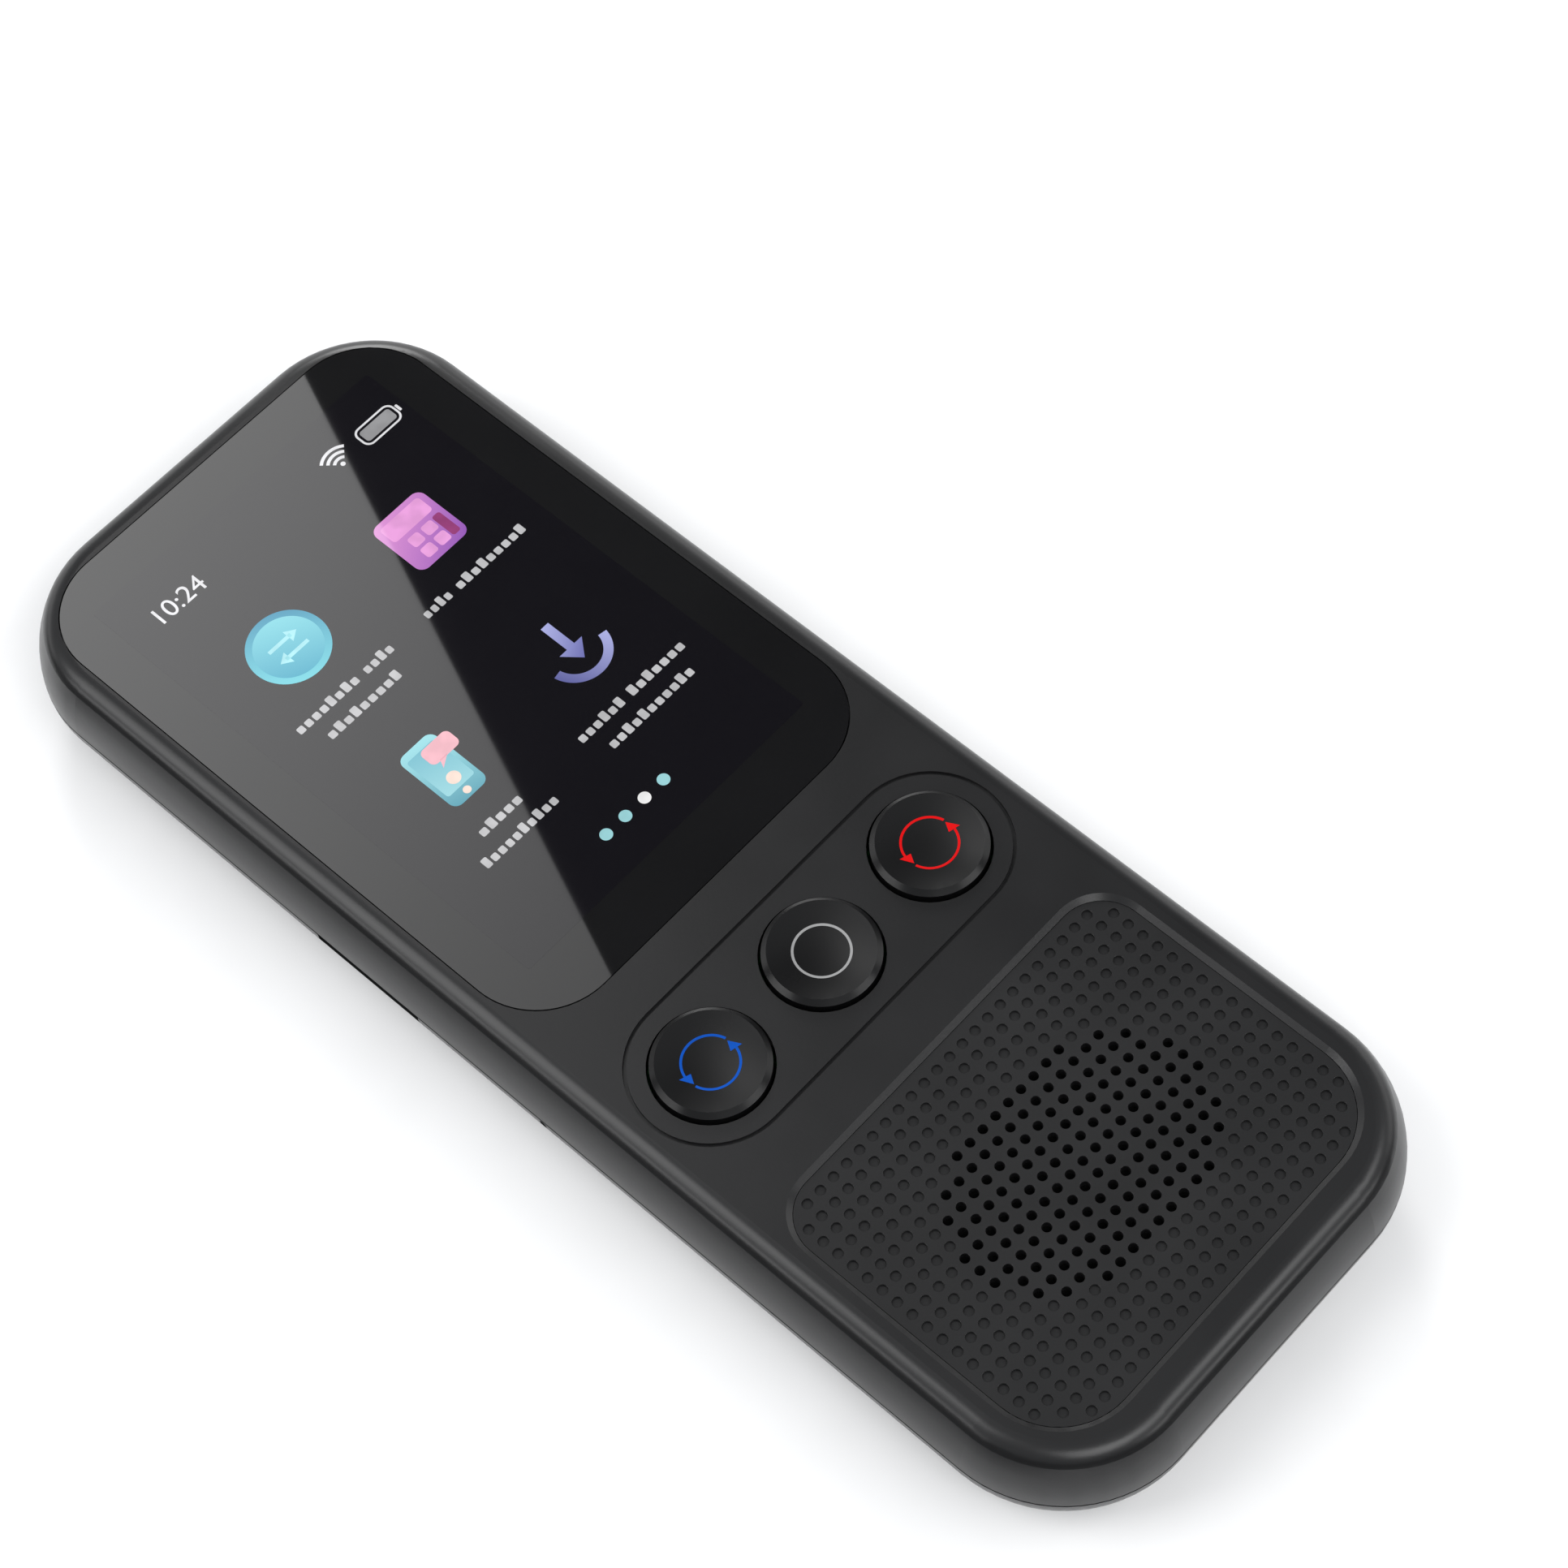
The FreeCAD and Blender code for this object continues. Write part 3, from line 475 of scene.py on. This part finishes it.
def inlay(name, shapes, lift, material, body):
    """One thin printed piece. Each shape is a list of loops: an outline, then its holes."""
    points, faces = [], []
    for loops in shapes:
        flat = [point for loop in loops for point in loop]
        start = len(points)
        points += [lift(x, y) for x, y in flat]
        loops_3d = [[Vector((x, y, 0)) for x, y in loop] for loop in loops]
        for a, b, c in tessellate_polygon(loops_3d):
            corner_a, corner_b, corner_c = (Vector(flat[i]) for i in (a, b, c))
            turned = (corner_b - corner_a).cross(corner_c - corner_a) < 0
            order = (a, c, b) if turned else (a, b, c)
            faces.append([start + i for i in order])
    return mesh_piece(name, points, faces, material, body)


def on_screen(layer):
    return lambda x, y: (x, y, FACE_Z + LAYER * layer)


def on_dish(key_x):
    ball_r = (DISH_R**2 + DISH_DEPTH**2) / (2 * DISH_DEPTH)

    def place(x, y):
        rise = ball_r - math.sqrt(ball_r**2 - x * x - y * y)
        return (key_x + x, KEY_Y + y, KEY_RIM_Z - DISH_DEPTH + rise + MARK_LIFT)

    return place


def on_side(y0):
    """Across the side key: along is toward the screen end, up is toward the face."""
    face_x = node_box("power_key")[1].x
    return lambda along, up: (face_x + SIDE_MARK_LIFT, y0 + along, SIDE_KEY_Z + up)


def lattice():
    for row in range(-ROWS, ROWS + 1):
        for column in range(-COLUMNS, COLUMNS + 1):
            in_corner = abs(column) == COLUMNS and (row == ROWS or row <= 1 - ROWS)
            in_low_corner = abs(column) == COLUMNS - 1 and row == -ROWS
            if in_corner or in_low_corner:
                continue
            reach = (row / THROUGH_ROWS) ** 2 + (column / THROUGH_COLUMNS) ** 2
            yield column * PITCH, GRILLE_Y + row * PITCH, reach <= 1


def plate_outline():
    """The grille plate's edge: each end has its own corner radius."""
    high_x, low_x = plate_high.x - PLATE_HIGH_R, plate_high.x - PLATE_LOW_R
    high_y, low_y = plate_high.y - PLATE_HIGH_R, plate_low.y + PLATE_LOW_R
    corners = [
        (high_x, high_y, PLATE_HIGH_R),
        (-high_x, high_y, PLATE_HIGH_R),
        (-low_x, low_y, PLATE_LOW_R),
        (low_x, low_y, PLATE_LOW_R),
    ]
    return rounded_outline(corners, PLATE_STEPS)


def holed_face(loops):
    """Triangles between an outline and round holes, as index triples into the joined loops."""
    flat, edges, owner = [], [], []
    for number, loop in enumerate(loops):
        start = len(flat)
        flat += [Vector(point) for point in loop]
        owner += [number] * len(loop)
        edges += [(start + k, start + (k + 1) % len(loop)) for k in range(len(loop))]
    found = delaunay_2d_cdt(flat, edges, [], 0, 1e-6)
    source = [origins[0] for origins in found[3]]
    faces = []
    for triangle in found[2]:
        corners = [source[i] for i in triangle]
        owners = {owner[i] for i in corners}
        inside_hole = len(owners) == 1 and 0 not in owners
        if not inside_hole:
            faces.append(corners)
    return faces


def grille_plate():
    """The grille with round through holes and shallow flat dimples, each with a broken edge."""
    floor_z = GRILLE_TOP_Z - DIMPLE_DEPTH
    edge_z = GRILLE_TOP_Z - HOLE_EDGE
    hole_rings = [(HOLE_R, edge_z), (HOLE_R, GRILLE_LOW_Z)]
    dimple_rings = [(DIMPLE_R, edge_z), (DIMPLE_FLOOR_R, floor_z)]

    rim = plate_outline()
    points = [(x, y, GRILLE_TOP_Z) for x, y in rim]
    top_loops, starts = [rim], []
    for x, y, through in lattice():
        loop = circle(x, y, (HOLE_R if through else DIMPLE_R) + HOLE_EDGE, HOLE_POINTS)
        starts.append(len(points))
        points += [(px, py, GRILLE_TOP_Z) for px, py in loop]
        top_loops.append(loop)
    faces = holed_face(top_loops)

    low_start = len(points)
    points += [(x, y, GRILLE_LOW_Z) for x, y in rim]
    count = len(rim)
    for k in range(count):
        after = (k + 1) % count
        faces.append((after, k, low_start + k, low_start + after))

    low_loops = [rim]
    low_index = list(range(low_start, low_start + count))
    for (x, y, through), above in zip(lattice(), starts):
        for r, z in hole_rings if through else dimple_rings:
            here = len(points)
            points += [(px, py, z) for px, py in circle(x, y, r, HOLE_POINTS)]
            for k in range(HOLE_POINTS):
                after = (k + 1) % HOLE_POINTS
                faces.append((above + k, above + after, here + after, here + k))
            above = here
        if through:
            low_loops.append(circle(x, y, HOLE_R, HOLE_POINTS))
            low_index += range(above, above + HOLE_POINTS)
        else:
            middle = len(points)
            points.append((x, y, floor_z))
            faces += [(above + k, above + (k + 1) % HOLE_POINTS, middle) for k in range(HOLE_POINTS)]
    faces += [[low_index[i] for i in reversed(face)] for face in holed_face(low_loops)]

    plate = mesh_piece("grille_plate", points, faces, grille_plastic, HOUSING)
    shade_smooth(plate, PLATE_NORMAL_WEIGHT)
    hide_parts("speaker_grille")


def arrow_band(start, end):
    """A curved arrow: a band with a pointed head at its end."""
    tail = band(0, 0, MARK_R, MARK_WIDTH, start, end - ARROW_TURN + ARROW_OVERLAP)
    neck, half = end - ARROW_TURN, ARROW_HALF_WIDTH
    head = []
    for r, angle in ((MARK_R - half, neck), (MARK_R + half, neck), (ARROW_TIP_R, end)):
        turn = math.radians(angle)
        head.append((r * math.cos(turn), r * math.sin(turn)))
    return [[tail], [head]]


def key_marks():
    red = finish_material("mark_red", rgb(200, 0, 3), 0.5, 0.2, 0.02, gloss_level=0.1)
    blue = finish_material("mark_blue", rgb(0, 72, 166), 0.5, 0.2, 0.02, gloss_level=0.1)
    grey = finish_material("mark_grey", rgb(140, 140, 140), 0.4, 0.2, 0.02)
    turning = [shape for start, end in ARROW_TURNS for shape in arrow_band(start, end)]
    inlay("left_key_mark", turning, on_dish(KEY_PLACES["left_key"]), blue, "left_key")
    inlay("right_key_mark", turning, on_dish(KEY_PLACES["right_key"]), red, "right_key")
    ring = [[circle(0, 0, MARK_R + MARK_WIDTH / 2, 72), circle(0, 0, MARK_R - MARK_WIDTH / 2, 72)]]
    inlay("centre_key_mark", ring, on_dish(KEY_PLACES["centre_key"]), grey, "centre_key")


def side_marks():
    white = finish_material("mark_white", rgb(170, 170, 170), 0.4, 0.2, 0.02)
    power = [[band(0, 0, POWER_MARK_R, POWER_LINE, 130, 410)], [stroke(0, 0.45, 0, 1.15, POWER_LINE)]]
    inlay("power_mark", power, on_side(POWER_Y), white, "power_key")
    reach, half = VOLUME_MARK_REACH, VOLUME_MARK_HALF
    plus = [[stroke(reach - half, 0, reach + half, 0, VOLUME_LINE)]]
    plus.append([stroke(reach, -half, reach, half, VOLUME_LINE)])
    minus = [[stroke(-reach, -half, -reach, half, VOLUME_LINE)]]
    inlay("volume_marks", plus + minus, on_side(VOLUME_Y), white, "volume_key")


def words(x, y, lengths):
    """A line of unreadable blocks where a label has its words, centred on x."""
    total = sum(lengths) + WORD_GAP * (len(lengths) - 1)
    left = x - total / 2
    shapes = []
    for length in lengths:
        count = round(length / BLOCK_PITCH)
        pitch = length / count
        for k in range(count):
            has_stem = (k * 5 + count) % 7 in (0, 3)
            tall = BLOCK_TALL if has_stem else 0.0
            width = pitch - BLOCK_GAP
            block_x = left + pitch * (k + 0.5)
            block_y, height = y + tall / 2, BLOCK_HEIGHT + tall
            shapes.append([rounded_box(block_x, block_y, width, height, BLOCK_R, 2)])
        left += length + WORD_GAP
    return shapes


def screen_piece(name, shapes, layer, material):
    return inlay(name, shapes, on_screen(layer), material, HOUSING)


def status_row():
    """Time, signal fan and battery along the top of the screen."""
    white = lit_material("screen_white", rgb(225, 225, 228))
    grey = lit_material("screen_grey", rgb(150, 150, 152))
    y = STATUS_Y
    text = bpy.data.curves.new("clock_digits", "FONT")
    text.body = "10:24"
    text.size = CLOCK_SIZE
    text.align_x = "CENTER"
    text.align_y = "CENTER"
    writing = bpy.data.objects.new("clock_writing", text)
    bpy.context.scene.collection.objects.link(writing)
    depsgraph = bpy.context.evaluated_depsgraph_get()
    mesh = bpy.data.meshes.new_from_object(writing.evaluated_get(depsgraph))
    bpy.data.objects.remove(writing)
    points = [(v.co.x + CLOCK_X, v.co.y + y, FACE_Z + LAYER * 2) for v in mesh.vertices]
    faces = [list(polygon.vertices) for polygon in mesh.polygons]
    mesh_piece("clock", points, faces, white, HOUSING)

    fan_x, fan_y = SIGNAL_X, y - 0.9
    fan = [[band(fan_x, fan_y, r, FAN_LINE, 48, 132, 16)] for r in FAN_RADII]
    fan.append([circle(fan_x, fan_y + 0.25, 0.26, 20)])
    screen_piece("signal_fan", fan, 2, white)

    case = [[rounded_box(CHARGE_X, y, 5.0, 2.5, 0.85), rounded_box(CHARGE_X, y, 4.56, 2.06, 0.65)]]
    case.append([rounded_box(CHARGE_X + 2.75, y, 0.3, 0.9, 0.12)])
    screen_piece("charge_case", case, 2, white)
    screen_piece("charge_level", [[rounded_box(CHARGE_X, y, 4.0, 1.5, 0.35)]], 2, grey)


def exchange_icon(x, y):
    """A teal disc with two opposed arrows."""
    low, high = rgb(40, 160, 190), rgb(130, 215, 225)
    disc = graded_material("disc_teal", low, high, (x, y), 4.2, (0.5, 0.86))
    edge = graded_material("disc_edge", rgb(110, 210, 222), rgb(30, 140, 175), (x, y), 4.4, (0.5, 0.86))
    pale = lit_material("disc_mark", rgb(165, 228, 236))
    screen_piece("exchange_edge", [[circle(x, y, 4.15, 64)]], 2, edge)
    screen_piece("exchange_disc", [[circle(x, y, 3.45, 64)]], 3, disc)
    arrows = []
    for side in (-1, 1):
        base = y + side * 0.85
        arrows.append([stroke(x - side * 1.55, base, x + side * 0.9, base, 0.42)])
        head = [(x + side * 0.75, base + 0.75), (x + side * 0.75, base - 0.75), (x + side * 1.85, base)]
        arrows.append([head])
    screen_piece("exchange_arrows", arrows, 4, pale)


def counting_icon(x, y):
    """A violet tile with a window and keys."""
    tile = graded_material("tile_violet", rgb(150, 90, 185), rgb(225, 150, 215), (x, y), 4.5, (-0.6, 0.8))
    pink = lit_material("tile_pink", rgb(232, 160, 220))
    plum = lit_material("tile_plum", rgb(150, 62, 120))
    screen_piece("counting_tile", [[rounded_box(x, y, 6.6, 7.2, 1.0)]], 2, tile)
    screen_piece("counting_window", [[rounded_box(x, y + 1.9, 5.2, 2.2, 0.4)]], 3, pink)
    keys = []
    for column in (-1, 0):
        for row in (0, 1):
            keys.append([rounded_box(x + 0.85 + column * 1.8, y - 0.45 - row * 1.75, 1.4, 1.35, 0.3)])
    screen_piece("counting_keys", keys, 3, pink)
    screen_piece("counting_sum", [[rounded_box(x + 2.25, y - 1.3, 1.0, 3.1, 0.3)]], 3, plum)


def phone_icon(x, y):
    """A teal telephone with a pink speech bubble."""
    body = graded_material("phone_teal", rgb(60, 150, 170), rgb(150, 220, 228), (x, y), 4.2, (0.3, 0.95))
    window = graded_material("phone_window", rgb(150, 212, 220), rgb(95, 178, 196), (x, y), 3.4, (0.3, 0.95))
    pink = lit_material("bubble_pink", rgb(240, 178, 190))
    cream = lit_material("phone_cream", rgb(238, 214, 200))
    screen_piece("phone_body", [[rounded_box(x, y, 4.4, 7.8, 0.9)]], 2, body)
    screen_piece("phone_window", [[rounded_box(x, y + 0.3, 3.5, 5.5, 0.3)]], 3, window)
    screen_piece("phone_button", [[circle(x, y - 3.15, 0.42, 24)]], 3, cream)
    bubble = [[rounded_box(x + 1.5, y + 1.9, 3.6, 2.1, 0.6)]]
    bubble.append([[(x + 0.6, y + 1.0), (x + 0.2, y + 0.1), (x + 1.6, y + 1.0)]])
    screen_piece("phone_bubble", bubble, 4, pink)
    screen_piece("phone_voice", [[circle(x + 0.1, y - 1.3, 0.72, 32)]], 4, cream)


def store_icon(x, y):
    """A lavender arrow over a curved tray."""
    high = rgb(178, 182, 232)
    tray = graded_material("tray_lavender", rgb(82, 84, 150), high, (x, y - 1.5), 3.8, (0.9, 0.4))
    arrow = graded_material("arrow_lavender", high, rgb(110, 112, 178), (x, y + 1.5), 2.6, (0.5, -0.86))
    screen_piece("store_tray", [[band(x, y - 0.3, 3.1, 0.95, 190, 350)]], 2, tray)
    head = [(x - 1.5, y + 0.35), (x, y - 1.5), (x + 1.5, y + 0.35)]
    shapes = [[stroke(x, y + 3.3, x, y + 0.5, 1.0)], [head]]
    screen_piece("store_arrow", shapes, 3, arrow)


def screen():
    area = rounded_box(SCREEN_CENTRE.x, SCREEN_CENTRE.y, SCREEN_SIZE.x, SCREEN_SIZE.y, 0.3)
    screen_piece("screen_area", [[area]], 1, screen_black)
    status_row()
    exchange_icon(*EXCHANGE_PLACE)
    counting_icon(*COUNTING_PLACE)
    phone_icon(*PHONE_PLACE)
    store_icon(*STORE_PLACE)
    label_white = lit_material("label_white", rgb(188, 188, 190))
    labels = [block for line in LABEL_LINES for block in words(*line)]
    screen_piece("labels", labels, 2, label_white)
    teal = lit_material("dot_teal", rgb(150, 205, 210))
    white = lit_material("dot_white", rgb(240, 240, 240))
    dots = [[circle(DOT_START + DOT_PITCH * k, DOT_Y, DOT_R, 28)] for k in range(DOT_COUNT)]
    now = dots.pop(DOT_NOW)
    screen_piece("page_dots", dots, 2, teal)
    screen_piece("page_dot_now", [now], 2, white)


def stage_floor():
    mesh = bpy.data.meshes.new("floor")
    corners = [(-1, -1), (1, -1), (1, 1), (-1, 1)]
    points = [(x * FLOOR_HALF, y * FLOOR_HALF, -FLOOR_DROP) for x, y in corners]
    mesh.from_pydata(points, [], [(0, 1, 2, 3)])
    floor = bpy.data.objects.new("floor", mesh)
    bpy.context.scene.collection.objects.link(floor)
    pale = (0.93, 0.93, 0.93, 1.0)
    mesh.materials.append(finish_material("floor_pale", pale, 0.85, 3.0, 0.0, 0.01, gloss_level=0.0))


def reflected(point, height):
    """Where the camera's line of sight goes after it meets the glass at a point."""
    depth = CAMERA_PLACE.z - FACE_Z
    mirrored = Vector((CAMERA_PLACE.x, CAMERA_PLACE.y, FACE_Z - depth))
    on_glass = Vector((point[0], point[1], FACE_Z))
    return on_glass + (on_glass - mirrored) * (height / depth)


def studio_card(name, corners, material):
    """A card that acts only on gloss: the camera and the diffuse light don't see it."""
    mesh = bpy.data.meshes.new(name)
    mesh.from_pydata([Vector(corner) * MM for corner in corners], [], [(0, 1, 2, 3)])
    mesh.materials.append(material)
    card = bpy.data.objects.new(name, mesh)
    bpy.context.scene.collection.objects.link(card)
    card.visible_camera = False
    card.visible_diffuse = False
    card.visible_shadow = False


def level(xs, ys, z):
    """Corners of a card that lies flat."""
    return [(xs[0], ys[0], z), (xs[1], ys[0], z), (xs[1], ys[1], z), (xs[0], ys[1], z)]


def across_x(x, ys, zs):
    """Corners of an upright card at one x."""
    return [(x, ys[0], zs[0]), (x, ys[1], zs[0]), (x, ys[1], zs[1]), (x, ys[0], zs[1])]


def across_y(y, xs, zs):
    """Corners of an upright card at one y."""
    return [(xs[0], y, zs[0]), (xs[1], y, zs[0]), (xs[1], y, zs[1]), (xs[0], y, zs[1])]


def glow_material(name, strength):
    material, _, shader = new_material(name)
    shader.inputs["Base Color"].default_value = UNLIT
    shader.inputs["Emission Color"].default_value = (1, 1, 1, 1)
    shader.inputs["Emission Strength"].default_value = strength
    return material


def surround_cards():
    """Dark cards for the black glass and the dark bands of the sides, pale ones for the rims."""
    dark = finish_material("card_dark", rgb(14, 14, 14), 0.9, 3.0, 0.0, 0.02)
    studio_card("dark_roof", level((90, 900), (150, 1000), ROOF_HEIGHT), dark)
    studio_card("dark_left", across_x(LEFT_X, (-700, 1000), DARK_RISE), dark)
    studio_card("dark_front", across_y(FRONT_Y, (LEFT_X, 800), DARK_RISE), dark)
    studio_card("low_left", level((LEFT_X, -46), (-120, 1000), LOW_Z), dark)
    studio_card("low_front", level((LEFT_X, 800), (FRONT_Y, -92), LOW_Z), dark)
    strip = glow_material("strip_glow", STRIP_GLOW)
    rim = glow_material("rim_glow", RIM_GLOW)
    studio_card("pale_right", across_x(RIGHT_X, (-600, 1000), (20, 330)), strip)
    studio_card("rim_left", across_x(LEFT_X, (40, 560), RIM_RISE), rim)
    studio_card("rim_front", across_y(FRONT_Y, (0, 440), RIM_RISE), rim)
    studio_card("pale_back", across_y(BACK_Y, (LEFT_X, RIGHT_X), (20, 260)), strip)


def pale_card():
    """The card in the glass: its edge makes the slanting line, and its glow fades across it."""
    foot = reflected(EDGE_FOOT, CARD_HEIGHT)
    top = reflected(EDGE_TOP, CARD_HEIGHT)
    along = (top - foot).normalized()
    away = Vector((-along.y, along.x, 0.0))
    ends = [foot - along * CARD_PAST_FOOT, top + along * CARD_PAST_TOP]
    corners = [ends[0], ends[1], ends[1] + away * CARD_WIDTH, ends[0] + away * CARD_WIDTH]
    material, tree, shader = new_material("card_glow")
    fade = (along + away).normalized()
    reaches = [(corner * MM).dot(fade) for corner in corners]
    scale = measure_along(tree, fade, min(reaches), max(reaches))
    scale.inputs["To Min"].default_value = CARD_GLOW[0]
    scale.inputs["To Max"].default_value = CARD_GLOW[1]
    shader.inputs["Base Color"].default_value = (0, 0, 0, 1)
    shader.inputs["Emission Color"].default_value = (1, 1, 1, 1)
    tree.links.new(scale.outputs["Result"], shader.inputs["Emission Strength"])
    studio_card("pale_card", corners, material)


def softbox(name, place, size, power):
    """A soft area light that faces the object."""
    data = bpy.data.lights.new(name, "AREA")
    data.shape = "RECTANGLE"
    data.size, data.size_y = size[0] * MM, size[1] * MM
    data.energy = power
    light = bpy.data.objects.new(name, data)
    light.location = Vector(place) * MM
    direction = -Vector(place).normalized()
    light.rotation_mode = "QUATERNION"
    light.rotation_quaternion = direction.to_track_quat("-Z", "Y")
    bpy.context.scene.collection.objects.link(light)


def studio():
    scene = bpy.context.scene
    scene.view_settings.view_transform = "Standard"
    world = bpy.data.worlds.new("studio")
    world.use_nodes = True
    background = world.node_tree.nodes["Background"]
    background.inputs["Color"].default_value = SKY_COLOUR
    background.inputs["Strength"].default_value = SKY_STRENGTH
    scene.world = world
    for name, (place, size, power) in SOFT_BOXES.items():
        softbox(name, place, size, power)


def camera():
    data = bpy.data.cameras.new("photo_camera")
    data.sensor_width = SENSOR
    data.lens = SENSOR * FOCAL_PX / PHOTO_SIDE
    data.clip_start = 0.01
    data.clip_end = 20
    forward = CAMERA_RIGHT.cross(CAMERA_DOWN).normalized()
    eye = bpy.data.objects.new("photo_camera", data)
    turn = Matrix((CAMERA_RIGHT, -CAMERA_DOWN, -forward)).transposed()
    eye.matrix_world = Matrix.Translation(CAMERA_PLACE * MM) @ turn.to_4x4()
    bpy.context.scene.collection.objects.link(eye)
    bpy.context.scene.camera = eye


camera()
dress_nodes()
grille_plate()
key_marks()
side_marks()
screen()
stage_floor()
surround_cards()
pale_card()
studio()

bpy.context.view_layer.update()
